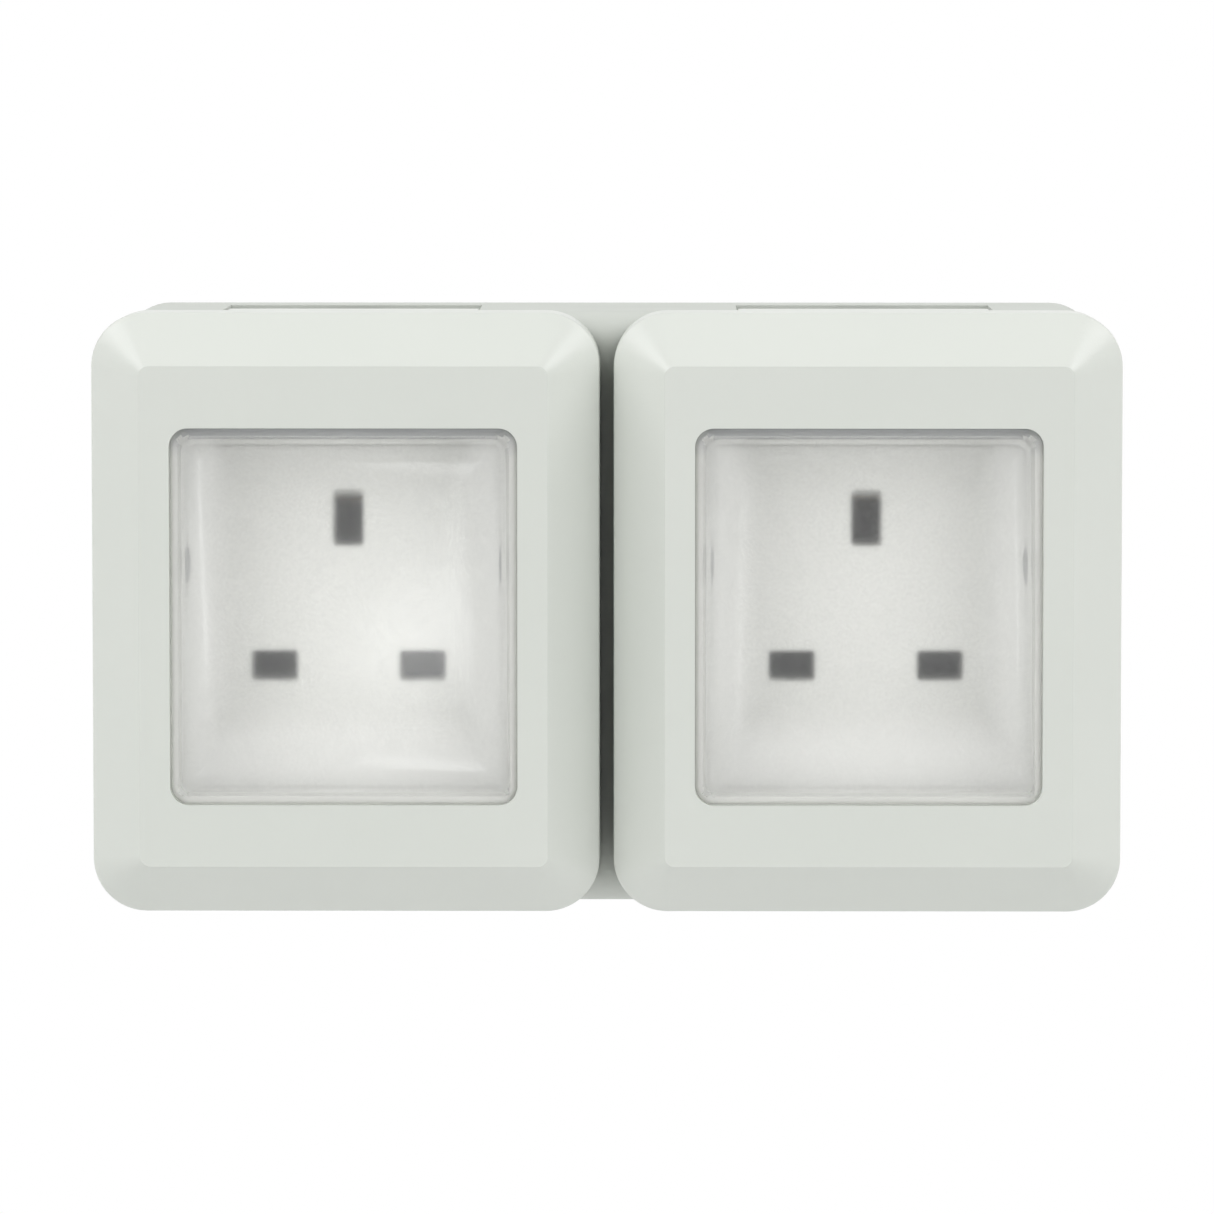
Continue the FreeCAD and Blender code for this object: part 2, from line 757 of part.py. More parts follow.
def contact_carrier():
    carrier = None
    for cx in (-gang_x, gang_x):
        part = slab(cx, tub_z, tub_width, tub_height, 1.5, carrier_front_y, carrier_back_y)
        inside_width = tub_width - 2 * carrier_wall
        inside_height = tub_height - 2 * carrier_wall
        part = part.cut(slab(cx, tub_z, inside_width, inside_height, 1.0, carrier_inside_y, carrier_back_y + 1))
        for x0, x1, z0, z1 in contact_cavities(cx):
            grow = cavity_wall
            part = part.fuse(
                block(x0 - grow, x1 + grow, carrier_inside_y - 0.5, carrier_back_y, z0 - grow, z1 + grow)
            )
        for x, z in carrier_screw_places(cx):
            part = part.fuse(rod(x, carrier_front_y, z, carrier_boss_r, carrier_boss_back_y - carrier_front_y, Y))
        for x0, x1, z0, z1 in contact_cavities(cx):
            part = part.cut(block(x0, x1, carrier_inside_y, carrier_back_y + 1, z0, z1))
        carrier = part if carrier is None else carrier.fuse(part)
    # Webs between the two sides, which carry the terminals and leave room for the middle bosses
    low_web_top = screw_z - boss_r - 1.1
    high_web_low = screw_z + boss_r + 0.8
    carrier = carrier.fuse(block(-web_reach, web_reach, web_front_y, web_back_y, tub_bottom + 2, low_web_top))
    carrier = carrier.fuse(block(-web_reach, web_reach, web_front_y, web_back_y, high_web_low, tub_top))
    for z0 in (tub_bottom + 2, tub_top - web_lip):
        carrier = carrier.fuse(block(-web_reach, web_reach, web_front_y, web_lip_back_y, z0, z0 + web_lip))
    # Room for the shutters, their stems and their springs
    for cx in (-gang_x, gang_x):
        half = shutter_half_width + 0.3
        low = shutter_spring_low_z - 0.05
        carrier = carrier.cut(block(cx - half, cx + half, carrier_front_y - 1, carrier_wall_y, low, ramp_top_z + 0.8))
        half = shutter_stem_width / 2 + 0.3
        low = ramp_low_z - shutter_travel - 0.5
        ramp_room = block(cx - half, cx + half, carrier_wall_y - 1, ramp_back_y + 0.4, low, ramp_top_z + 0.8)
        carrier = carrier.cut(ramp_room)
        for kind in ("neutral", "line"):
            carrier = carrier.cut(slot_shape(cx, kind, 0.4, carrier_wall_y - 1, carrier_inside_y + 1))
        for x, z in carrier_screw_places(cx):
            bore_length = carrier_boss_back_y - carrier_front_y + 2
            carrier = carrier.cut(rod(x, carrier_front_y - 1, z, carrier_screw_r + running_gap, bore_length, Y))
    # Slots in which the brass bars lie
    reach = gang_x + live_x + live_clip_width / 2 + 0.5
    slot_y = clip_back_y - 0.3
    for bar_z, clip_z, left, right in (
        (neutral_bar_z, live_z - 3, -reach, reach - 2 * live_x),
        (line_bar_z, live_z + 3, 2 * live_x - reach, reach),
        (earth_bar_z, earth_z + 3, -gang_x - 4, gang_x + 4),
    ):
        low = min(bar_z - bar_height / 2 - 0.3, clip_z)
        high = max(bar_z + bar_height / 2 + 0.3, clip_z)
        strip = block(left, right, slot_y, carrier_back_y + 1, bar_z - bar_height / 2 - 0.3, bar_z + bar_height / 2 + 0.3)
        keep_web = block(-web_reach, web_reach, web_front_y - 1, web_back_y, -60, 60)
        carrier = carrier.cut(strip.cut(keep_web))
        if bar_z == earth_bar_z:
            tabs = [-gang_x, gang_x]
        elif bar_z == neutral_bar_z:
            tabs = [-gang_x - live_x, gang_x - live_x]
        else:
            tabs = [-gang_x + live_x, gang_x + live_x]
        for x in tabs:
            tab = block(x - 4.5, x + 4.5, slot_y, carrier_back_y + 1, low, high)
            carrier = carrier.cut(tab)
    return carrier.removeSplitter()


def carrier_screws():
    screws = []
    for cx in (-gang_x, gang_x):
        for x, z in carrier_screw_places(cx):
            tip = plate_front_y + 1.3
            head_y = carrier_boss_back_y + 0.05
            shank = rod(x, tip, z, carrier_screw_r, head_y - tip + 0.2, Y)
            head = rod(x, head_y, z, carrier_head_r, carrier_head_t, Y)
            slot = block(x - 2 * carrier_head_r, x + 2 * carrier_head_r, head_y + 0.8, head_y + 3, z - 0.35, z + 0.35)
            screws.append(shank.fuse(head).cut(slot))
    return Part.makeCompound(screws)


def leaf_outline(front, flip):
    # One springy leaf: root, pinch where it grips the pin, and flared mouth
    heights = [
        (clip_back_y, leaf_root),
        (clip_back_y - leaf_bend, leaf_root),
        (front + leaf_bend, leaf_pinch),
        (front, leaf_mouth),
        (front, leaf_mouth + leaf_t),
        (front + leaf_bend, leaf_pinch + leaf_t),
        (clip_back_y - leaf_bend, leaf_root + leaf_t),
        (clip_back_y, leaf_root + leaf_t),
    ]
    outline = []
    for y, height in heights:
        outline.append((y, flip * height))
    return outline


def live_clip(x):
    # Two leaves above and below a flat pin
    half = live_clip_width / 2
    back = block(x - half, x + half, clip_back_y, clip_back_y + bar_t, live_z - 4, live_z + 4)
    clip = back
    for flip in (-1, 1):
        points = []
        for y, height in leaf_outline(live_clip_front_y, flip):
            points.append(FreeCAD.Vector(0, y, height))
        clip = clip.fuse(prism(points, FreeCAD.Vector(x - half, 0, live_z), X * live_clip_width))
    return clip


def earth_clip(x):
    # Two leaves left and right of the upright earth pin
    half = earth_clip_width / 2
    back = block(x - 4, x + 4, clip_back_y, clip_back_y + bar_t, earth_z - half, earth_z + half)
    clip = back
    for flip in (-1, 1):
        points = []
        for y, height in leaf_outline(earth_clip_front_y, flip):
            points.append(FreeCAD.Vector(height, y, 0))
        clip = clip.fuse(prism(points, FreeCAD.Vector(x, 0, earth_z - half), Z * earth_clip_width))
    return clip


def terminal(x, z):
    half = terminal_width / 2
    rise = terminal_height / 2
    body = block(x - half, x + half, terminal_front_y, terminal_back_y, z - rise, z + rise)
    body = body.makeChamfer(0.6, edges_at(body, terminal_back_y, any_edge))
    body = body.cut(rod(x, wire_hole_y, z - rise - 1, wire_hole_r, terminal_height + 2, Z))
    return body.cut(rod(x, wire_hole_y, z, terminal_screw_r + fixed_gap, 10, Y))


def brass_bar(bar_z, left, right, tabs, clip, clip_z, terminal_at):
    half = bar_height / 2
    bar = block(left, right, clip_back_y, clip_back_y + bar_t, bar_z - half, bar_z + half)
    for x in tabs:
        bar = bar.fuse(clip(x))
        low = min(bar_z, clip_z)
        high = max(bar_z, clip_z)
        bar = bar.fuse(block(x - 3, x + 3, clip_back_y, clip_back_y + bar_t, low, high))
    post = terminal(terminal_at, bar_z)
    bore = rod(terminal_at, wire_hole_y, bar_z - 20, wire_hole_r, 40, Z)
    return bar.fuse(post).cut(bore).removeSplitter()


def neutral_bar():
    left = -gang_x - live_x
    right = gang_x - live_x
    return brass_bar(neutral_bar_z, left - 3, right + 3, [left, right], live_clip, live_z, -terminal_x)


def line_bar():
    left = -gang_x + live_x
    right = gang_x + live_x
    return brass_bar(line_bar_z, left - 3, right + 3, [left, right], live_clip, live_z, terminal_x)


def earth_bar():
    return brass_bar(earth_bar_z, -gang_x - 3, gang_x + 3, [-gang_x, gang_x], earth_clip, earth_z, 0)


def terminal_screws():
    screws = []
    for x, z in ((-terminal_x, neutral_bar_z), (terminal_x, line_bar_z), (0, earth_bar_z)):
        length = terminal_screw_head_y - terminal_screw_tip_y
        shank = rod(x, terminal_screw_tip_y, z, terminal_screw_r, length + 0.2, Y)
        head = rod(x, terminal_screw_head_y, z, terminal_screw_head_r, terminal_screw_head_t, Y)
        slot_front = terminal_screw_head_y + 0.9
        slot = block(x - 4, x + 4, slot_front, slot_front + 3, z - 0.4, z + 0.4)
        screws.append(shank.fuse(head).cut(slot))
    return Part.makeCompound(screws)


def shutter(cx):
    # Two blades on a crossbar, with a stem and the ramp that the earth pin pushes down
    half = shutter_half_width
    bar = block(cx - half, cx + half, shutter_front_y, shutter_back_y, blade_low_z, blade_top_z)
    for x in (cx - half, cx + half):
        bar = bar.makeFillet(shutter_corner_r, upright_edges(bar, x))
    stem_half = shutter_stem_width / 2
    stem = block(cx - stem_half, cx + stem_half, shutter_front_y, shutter_back_y, blade_low_z + 2, ramp_low_z + 0.5)
    ramp_points = [
        FreeCAD.Vector(0, shutter_front_y, ramp_low_z),
        FreeCAD.Vector(0, shutter_front_y, ramp_low_z + 0.8),
        FreeCAD.Vector(0, ramp_back_y - 0.6, ramp_top_z),
        FreeCAD.Vector(0, ramp_back_y, ramp_top_z),
        FreeCAD.Vector(0, ramp_back_y, ramp_top_z - 2.2),
        FreeCAD.Vector(0, shutter_back_y, ramp_low_z),
    ]
    ramp = prism(ramp_points, FreeCAD.Vector(cx - stem_half, 0, 0), X * shutter_stem_width)
    return bar.fuse(stem).fuse(ramp).removeSplitter()


def upright_edges(shape, x):
    # Edges across the thickness of a plate at one side
    found = []
    for edge in shape.Edges:
        box = edge.BoundBox
        if abs(box.XMin - x) < 0.01 and abs(box.XMax - x) < 0.01 and abs(box.ZMax - box.ZMin) < 0.01:
            found.append(edge)
    return found


def shutter_spring(cx):
    path = []
    steps = 10
    top = blade_low_z - shutter_wire_r - 0.05
    low = shutter_spring_low_z + shutter_wire_r + 0.05
    turn_r = shutter_spring_r - shutter_wire_r
    y = carrier_front_y + shutter_room / 2
    for index in range(shutter_spring_turns * steps + 1):
        share = index / (shutter_spring_turns * steps)
        turn = math.radians(360 * index / steps)
        path.append(FreeCAD.Vector(cx + turn_r * math.cos(turn), y + turn_r * math.sin(turn), low + share * (top - low)))
    return wire_along(path, shutter_wire_r)


def lid_spring(cx):
    # Fixed leg down behind the pin, coil round it, moving leg forward under the lug
    steps = 12
    count = lid_coil_turns * steps + steps // 4
    half = lid_coil_pitch * lid_coil_turns / 2
    start_x = cx - half
    path = [FreeCAD.Vector(start_x, hinge_y + lid_coil_r, hinge_z - lid_leg_down)]
    for index in range(count + 1):
        turn = math.radians(360 * index / steps)
        x = start_x + 2 * half * index / count
        y = hinge_y + lid_coil_r * math.cos(turn)
        z = hinge_z + lid_coil_r * math.sin(turn)
        path.append(FreeCAD.Vector(x, y, z))
    top = hinge_z + lid_coil_r
    path.append(FreeCAD.Vector(cx + half, hinge_y - lid_leg_front + 0.5, top))
    path.append(FreeCAD.Vector(cx + half, hinge_y - lid_leg_front, top + 0.5))
    path.append(FreeCAD.Vector(cx + half, hinge_y - lid_leg_front, top + lid_leg_up))
    return wire_along(path, lid_wire_r)


def hinge_pin(cx):
    pin = rod(cx - pin_length / 2, hinge_y, hinge_z, pin_r, pin_length, X)
    ends = []
    for edge in pin.Edges:
        if edge.BoundBox.XMax - edge.BoundBox.XMin < 0.01:
            ends.append(edge)
    return pin.makeChamfer(0.3, ends)


def main():
    nodes = {
        "back_box": back_box(),
        "housing_seal": housing_seal(),
        "front_housing": front_housing(),
        "housing_screws": housing_screws(),
        "contact_carrier": contact_carrier(),
        "carrier_screws": carrier_screws(),
        "neutral_bar": neutral_bar(),
        "line_bar": line_bar(),
        "earth_bar": earth_bar(),
        "terminal_screws": terminal_screws(),
    }
    for side, cx in (("left", -gang_x), ("right", gang_x)):
        nodes[side + "_socket_face"] = socket_face(cx)
        nodes[side + "_shutter"] = shutter(cx)
        nodes[side + "_shutter_spring"] = shutter_spring(cx)
        nodes[side + "_lid_frame"] = lid_frame(cx)
        nodes[side + "_window"] = window_membrane(cx)
        nodes[side + "_window_retainer"] = window_retainer(cx)
        nodes[side + "_lid_gasket"] = lid_gasket(cx)
        nodes[side + "_hinge_pin"] = hinge_pin(cx)
        nodes[side + "_lid_spring"] = lid_spring(cx)
        nodes[side + "_entry_grommet"] = entry_grommet(cx)
    for name, shape in nodes.items():
        shape.exportStep("parts/" + name + ".step")
        print(name, len(shape.Solids), shape.isValid(), round(shape.Volume))


main()
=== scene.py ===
import json
import math
import bmesh
import bpy
from mathutils import Matrix, Vector, noise


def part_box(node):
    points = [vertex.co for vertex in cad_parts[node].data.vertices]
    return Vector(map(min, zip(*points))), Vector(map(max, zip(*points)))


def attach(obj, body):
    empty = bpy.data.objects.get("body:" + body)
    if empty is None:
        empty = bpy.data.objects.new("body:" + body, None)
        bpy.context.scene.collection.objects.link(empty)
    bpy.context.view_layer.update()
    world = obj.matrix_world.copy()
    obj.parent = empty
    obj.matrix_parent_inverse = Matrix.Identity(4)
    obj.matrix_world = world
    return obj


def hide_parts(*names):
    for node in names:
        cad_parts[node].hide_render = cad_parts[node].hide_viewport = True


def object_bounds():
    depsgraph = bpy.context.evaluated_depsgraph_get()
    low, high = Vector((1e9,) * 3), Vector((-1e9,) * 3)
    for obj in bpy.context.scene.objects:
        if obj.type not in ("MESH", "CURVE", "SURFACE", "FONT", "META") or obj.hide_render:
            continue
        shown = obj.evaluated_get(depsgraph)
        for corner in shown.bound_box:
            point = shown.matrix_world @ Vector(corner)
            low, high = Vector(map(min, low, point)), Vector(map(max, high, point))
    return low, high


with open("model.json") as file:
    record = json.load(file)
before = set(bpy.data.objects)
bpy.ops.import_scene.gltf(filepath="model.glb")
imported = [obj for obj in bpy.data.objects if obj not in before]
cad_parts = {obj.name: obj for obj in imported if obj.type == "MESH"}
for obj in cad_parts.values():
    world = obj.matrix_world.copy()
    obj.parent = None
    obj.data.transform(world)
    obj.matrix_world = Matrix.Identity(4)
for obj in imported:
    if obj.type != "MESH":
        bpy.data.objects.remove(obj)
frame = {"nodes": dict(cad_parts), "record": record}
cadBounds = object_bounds()
nodes = frame["nodes"]
scene = bpy.context.scene
print("frame loaded")


# Materials

def newMaterial(name):
    material = bpy.data.materials.new(name)
    material.use_nodes = True
    tree = material.node_tree
    tree.nodes.clear()
    shader = tree.nodes.new("ShaderNodeBsdfPrincipled")
    output = tree.nodes.new("ShaderNodeOutputMaterial")
    tree.links.new(shader.outputs["BSDF"], output.inputs["Surface"])
    coords = tree.nodes.new("ShaderNodeTexCoord")
    return material, tree, shader, coords.outputs["Object"]


def noiseTexture(tree, coords, scale, detail=3.0, rough=0.55):
    texture = tree.nodes.new("ShaderNodeTexNoise")
    texture.inputs["Scale"].default_value = scale
    texture.inputs["Detail"].default_value = detail
    texture.inputs["Roughness"].default_value = rough
    tree.links.new(coords, texture.inputs["Vector"])
    return texture.outputs["Fac"]


def colourMix(tree, factor, low, high, fromValue=0.35, toValue=0.65):
    ramp = tree.nodes.new("ShaderNodeValToRGB")
    ramp.color_ramp.elements[0].position = fromValue
    ramp.color_ramp.elements[0].color = (*low, 1)
    ramp.color_ramp.elements[1].position = toValue
    ramp.color_ramp.elements[1].color = (*high, 1)
    tree.links.new(factor, ramp.inputs["Fac"])
    return ramp.outputs["Color"]


noiseSpan = (0.3, 0.7)  # where nearly all values of a noise texture lie


def valueRange(tree, factor, low, high):
    mapRange = tree.nodes.new("ShaderNodeMapRange")
    mapRange.inputs["From Min"].default_value = noiseSpan[0]
    mapRange.inputs["From Max"].default_value = noiseSpan[1]
    mapRange.inputs["To Min"].default_value = low
    mapRange.inputs["To Max"].default_value = high
    tree.links.new(factor, mapRange.inputs["Value"])
    return mapRange.outputs["Result"]


def smoothRange(tree, value, span, result):
    mapRange = tree.nodes.new("ShaderNodeMapRange")
    mapRange.interpolation_type = "SMOOTHSTEP"
    mapRange.inputs["From Min"].default_value = span[0]
    mapRange.inputs["From Max"].default_value = span[1]
    mapRange.inputs["To Min"].default_value = result[0]
    mapRange.inputs["To Max"].default_value = result[1]
    tree.links.new(value, mapRange.inputs["Value"])
    return mapRange.outputs["Result"]


def mathNode(tree, operation, first, second=None):
    node = tree.nodes.new("ShaderNodeMath")
    node.operation = operation
    for index, value in enumerate((first, second)):
        if isinstance(value, (int, float)):
            node.inputs[index].default_value = value
        elif value is not None:
            tree.links.new(value, node.inputs[index])
    return node.outputs[0]


def separated(tree, coords):
    parts = tree.nodes.new("ShaderNodeSeparateXYZ")
    tree.links.new(coords, parts.inputs["Vector"])
    return parts.outputs


def addBump(tree, shader, height, strength, distance, under=None):
    bump = tree.nodes.new("ShaderNodeBump")
    bump.inputs["Strength"].default_value = strength
    bump.inputs["Distance"].default_value = distance
    tree.links.new(height, bump.inputs["Height"])
    if under is not None:
        tree.links.new(under, bump.inputs["Normal"])
    tree.links.new(bump.outputs["Normal"], shader.inputs["Normal"])
    return bump.outputs["Normal"]


def mouldedPlastic(name, look):
    material, tree, shader, coords = newMaterial(name)
    cloud = noiseTexture(tree, coords, look["cloudScale"], 2.0)
    tree.links.new(colourMix(tree, cloud, look["dark"], look["pale"]), shader.inputs["Base Color"])
    handling = noiseTexture(tree, coords, look["handlingScale"], 4.0)
    tree.links.new(valueRange(tree, handling, look["smooth"], look["rough"]), shader.inputs["Roughness"])
    waves = noiseTexture(tree, coords, look["rippleScale"], 1.0)
    ripple = addBump(tree, shader, waves, look["rippleStrength"], look["ripple"])
    grain = noiseTexture(tree, coords, look["grainScale"], 2.0, 0.6)
    addBump(tree, shader, grain, look["grainStrength"], look["grain"], ripple)
    return material


lidLook = {
    "pale": (0.612, 0.634, 0.594), "dark": (0.600, 0.624, 0.583),
    "smooth": 0.30, "rough": 0.40, "cloudScale": 22.0, "handlingScale": 68.2,
    "rippleScale": 60.0, "rippleStrength": 0.25, "ripple": 0.0004,
    "grainScale": 2600.0, "grainStrength": 0.35, "grain": 0.00003,
}
# The housing's colour is set darker than the lids' partly as painted shade, darkening the shaded gap between
# the lids and the strip of housing above them
housingLook = dict(lidLook, pale=(0.545, 0.567, 0.530), dark=(0.527, 0.549, 0.512), smooth=0.55, rough=0.65)
faceLook = dict(lidLook, pale=(0.865, 0.87, 0.85), dark=(0.863, 0.868, 0.848), smooth=0.24, rough=0.32)
faceLook["grain"] = 0.00001
innerLook = dict(lidLook, pale=(0.88, 0.88, 0.86), dark=(0.85, 0.85, 0.83), smooth=0.38, rough=0.5)
shutterLook = dict(lidLook, pale=(0.024, 0.027, 0.032), dark=(0.018, 0.021, 0.026), smooth=0.6, rough=0.7)
greyRubberLook = dict(lidLook, pale=(0.44, 0.46, 0.44), dark=(0.38, 0.40, 0.38), smooth=0.6, rough=0.75)
blackRubberLook = dict(lidLook, pale=(0.045, 0.045, 0.048), dark=(0.03, 0.03, 0.032), smooth=0.65, rough=0.8)


def metal(name, look):
    material, tree, shader, coords = newMaterial(name)
    shader.inputs["Metallic"].default_value = 1.0
    cloud = noiseTexture(tree, coords, look["cloudScale"], 3.0)
    tree.links.new(colourMix(tree, cloud, look["dark"], look["pale"]), shader.inputs["Base Color"])
    mapping = tree.nodes.new("ShaderNodeMapping")
    mapping.inputs["Scale"].default_value = look["stretch"]
    tree.links.new(coords, mapping.inputs["Vector"])
    drawn = noiseTexture(tree, mapping.outputs["Vector"], look["lineScale"], 3.0)
    tree.links.new(valueRange(tree, drawn, look["smooth"], look["rough"]), shader.inputs["Roughness"])
    addBump(tree, shader, drawn, look["lineStrength"], look["line"])
    return material


brassLook = {
    "pale": (0.80, 0.62, 0.30), "dark": (0.66, 0.48, 0.20), "smooth": 0.24, "rough": 0.42,
    "cloudScale": 60.0, "lineScale": 900.0, "stretch": (0.1, 1, 1), "lineStrength": 0.3, "line": 0.00003,
}
zincLook = dict(brassLook, pale=(0.74, 0.75, 0.77), dark=(0.62, 0.63, 0.65), stretch=(1, 1, 0.2))
springLook = dict(brassLook, pale=(0.60, 0.60, 0.62), dark=(0.48, 0.48, 0.50), stretch=(1, 1, 0.2))


def edgeHazeAndPaintedLight(tree, coords, look):
    # Each window is milkier towards its sides and foot, and a little towards its top; this is partly the
    # membrane's own haze and partly painted light, lightening the pane's edges where the face behind lies in
    # shade
    parts = separated(tree, coords)
    aside = mathNode(tree, "ABSOLUTE", parts["X"])
    aside = mathNode(tree, "ABSOLUTE", mathNode(tree, "SUBTRACT", aside, look["centre"]))
    sides = smoothRange(tree, aside, look["sides"], (0, 1))
    under = smoothRange(tree, parts["Z"], look["under"], (1, 0))
    above = smoothRange(tree, parts["Z"], look["above"], (0, look["aboveShare"]))
    share = mathNode(tree, "MAXIMUM", mathNode(tree, "MAXIMUM", sides, under), above)
    return smoothRange(tree, share, (0, 1), (look["through"], look["throughEdge"]))


def milkyMembrane(name, look):
    # A thin haze over a frosted skin that blurs what lies behind it
    material, tree, shader, coords = newMaterial(name)
    cloud = noiseTexture(tree, coords, look["cloudScale"], 2.0)
    shader.inputs["Transmission Weight"].default_value = look["through"]
    # Painted shade: the border's colour darkens and turns bluer towards its top, standing for the shadow that
    # the lid's opening casts on it
    if "topPaintedShade" in look:
        height = separated(tree, coords)["Z"]
        colour = colourMix(tree, height, look["pale"], look["topPaintedShade"], *look["top"])
    else:
        colour = colourMix(tree, cloud, look["dark"], look["pale"])
        specks = noiseTexture(tree, coords, look["speckScale"], 0.0)
        speck = smoothRange(tree, specks, noiseSpan, look["speck"])
        # The milkier edges lighten the pane there as painted light; the specks are the skin's random
        # milkiness
        hazeAndPaintedLight = mathNode(tree, "ADD", edgeHazeAndPaintedLight(tree, coords, look), speck)
        tree.links.new(hazeAndPaintedLight, shader.inputs["Transmission Weight"])
    tree.links.new(colour, shader.inputs["Base Color"])
    shader.inputs["IOR"].default_value = look["ior"]
    shader.inputs["Specular IOR Level"].default_value = look["shine"]
    shader.inputs["Coat Weight"].default_value = look["coat"]
    shader.inputs["Coat Roughness"].default_value = look["coatRough"]
    shader.inputs["Coat IOR"].default_value = look["coatIor"]
    tree.links.new(valueRange(tree, cloud, look["smooth"], look["rough"]), shader.inputs["Roughness"])
    grain = noiseTexture(tree, coords, look["grainScale"], 1.0)
    addBump(tree, shader, grain, look["grainStrength"], look["grain"])
    # Shadow and diffuse rays pass straight through, so that the inside is lit
    clear = tree.nodes.new("ShaderNodeBsdfTransparent")
    clear.inputs["Color"].default_value = (*look["shadow"], 1)
    path = tree.nodes.new("ShaderNodeLightPath")
    unseen = mathNode(tree, "MAXIMUM", path.outputs["Is Shadow Ray"], path.outputs["Is Diffuse Ray"])
    mix = tree.nodes.new("ShaderNodeMixShader")
    tree.links.new(unseen, mix.inputs[0])
    tree.links.new(shader.outputs["BSDF"], mix.inputs[1])
    tree.links.new(clear.outputs["BSDF"], mix.inputs[2])
    output = next(n for n in tree.nodes if n.type == "OUTPUT_MATERIAL")
    tree.links.new(mix.outputs["Shader"], output.inputs["Surface"])
    return material


# Heights and distances from the window's middle line are in metres
windowLook = {
    "pale": (0.99, 0.99, 0.978), "dark": (0.98, 0.98, 0.968), "through": 0.989, "throughEdge": 0.820,
    "ior": 1.25, "smooth": 0.21, "rough": 0.25, "cloudScale": 30.0,
    "grainScale": 5200.0, "grainStrength": 0.5, "grain": 0.000012, "shadow": (0.985, 0.985, 0.98),
    "shine": 0.0, "coat": 1.0, "coatRough": 0.07, "coatIor": 1.36,
    # centre, sides, under, above and aboveShare place the milkier edges, which are partly painted light that
    # lightens the pane's edges
    "centre": 0.0388, "sides": (0.0125, 0.0240), "under": (-0.0240, -0.0090), "above": (0.0200, 0.0250),
    "aboveShare": 0.35, "speckScale": 2400.0, "speck": (-0.022, 0.008),
}
# The border's darker, bluer tone towards its top, between the heights given as top, is painted shade for the
# shadow of the lid's opening
borderLook = {
    "pale": (0.80, 0.80, 0.775), "topPaintedShade": (0.46, 0.47, 0.49), "top": (0.0262, 0.0276), "through": 0.50,
    "ior": 1.25, "smooth": 0.21, "rough": 0.25, "cloudScale": 30.0,
    "grainScale": 5200.0, "grainStrength": 0.5, "grain": 0.000014, "shadow": (0.96, 0.96, 0.955),
    "shine": 0.0, "coat": 1.0, "coatRough": 0.07, "coatIor": 1.36,
}

finishes = {
    "lid_plastic": mouldedPlastic("lidPlastic", lidLook),
    "housing_plastic": mouldedPlastic("housingPlastic", housingLook),
    "face_plastic": mouldedPlastic("facePlastic", faceLook),
    "inner_plastic": mouldedPlastic("innerPlastic", innerLook),
    "dark_plastic": mouldedPlastic("shutterPlastic", shutterLook),
    "grey_rubber": mouldedPlastic("grommetRubber", greyRubberLook),
    "black_rubber": mouldedPlastic("sealRubber", blackRubberLook),
    "brass": metal("stampedBrass", brassLook),
    "zinc_steel": metal("zincSteel", zincLook),
    "spring_steel": metal("springSteel", springLook),
    "window_membrane": milkyMembrane("milkyMembrane", windowLook),
    "window_border": milkyMembrane("milkyBorder", borderLook),
}
for entry in frame["record"]["subparts"]:
    target = nodes[entry["node"]]
    target.data.materials.clear()
    target.data.materials.append(finishes[entry["material_slot"]])
print("materials set")


# Windows, soft membranes with a moulded bead

windowSkin = {
    "width": 0.0514, "height": 0.0558, "cornerSegments": 8, "sideCuts": 21,
    "sag": 0.00003, "sagMargin": 0.003, "waveScale": 42.0, "wave": 0.3, "border": 0.0012,
    # Loops from the middle of the front, round the edge, to the middle of the back:
    # how far in from the window's edge, how far behind the lid's face, and corner radius, in mm
    "profile": [
        (24.0, 1.78, 0.3), (21.0, 1.78, 0.4), (18.0, 1.78, 0.5), (15.0, 1.78, 0.6), (12.0, 1.78, 0.7),
        (9.5, 1.78, 0.8), (7.2, 1.77, 0.9), (5.3, 1.75, 1.0), (4.10, 1.71, 1.2), (3.40, 1.66, 1.35),
        (3.00, 1.60, 1.5), (2.74, 1.52, 1.6), (2.60, 1.42, 1.65), (2.50, 1.30, 1.7), (2.40, 1.23, 1.75),
        (2.28, 1.20, 1.8), (2.16, 1.22, 1.85), (2.08, 1.29, 1.9), (1.98, 1.40, 1.95), (1.84, 1.46, 2.0),
        (1.68, 1.46, 2.05), (1.56, 1.40, 2.15), (1.46, 1.24, 2.2), (1.36, 1.06, 2.25), (1.22, 0.94, 2.3),
        (1.00, 0.89, 2.4), (0.60, 0.90, 2.5), (0.34, 0.96, 2.6), (0.18, 1.10, 2.7), (0.10, 1.40, 2.7),
        (0.10, 2.20, 2.7), (-2.20, 2.20, 5.0), (-2.20, 3.40, 5.0), (0.50, 3.40, 2.4), (1.60, 3.34, 2.1),
        (2.60, 3.18, 1.7), (3.60, 2.96, 1.3), (5.3, 2.80, 1.0), (7.2, 2.73, 0.9), (9.5, 2.72, 0.8),
        (12.0, 2.72, 0.7), (15.0, 2.72, 0.6), (18.0, 2.72, 0.5), (21.0, 2.72, 0.4), (24.0, 2.72, 0.3),
    ],
    # The top edge hangs back: how much of its height, how far and over what height it begins
    "droop": 0.0014, "droopTo": cadBounds[0][1] + 0.0021, "droopShare": 0.8, "droopFade": 0.0008,
    # The bead wanders sideways on the right: how far, from where, how it fades in and out, and how it leans
    "wander": 0.00042, "wanderFrom": 0.0180, "wanderEnd": 0.0010, "fadeIn": 0.003, "fadeOut": 0.0007,
    "wanderScale": 46.0, "wanderMiddle": 0.5, "wanderCurve": 1.6, "wanderLean": 26.0,
}


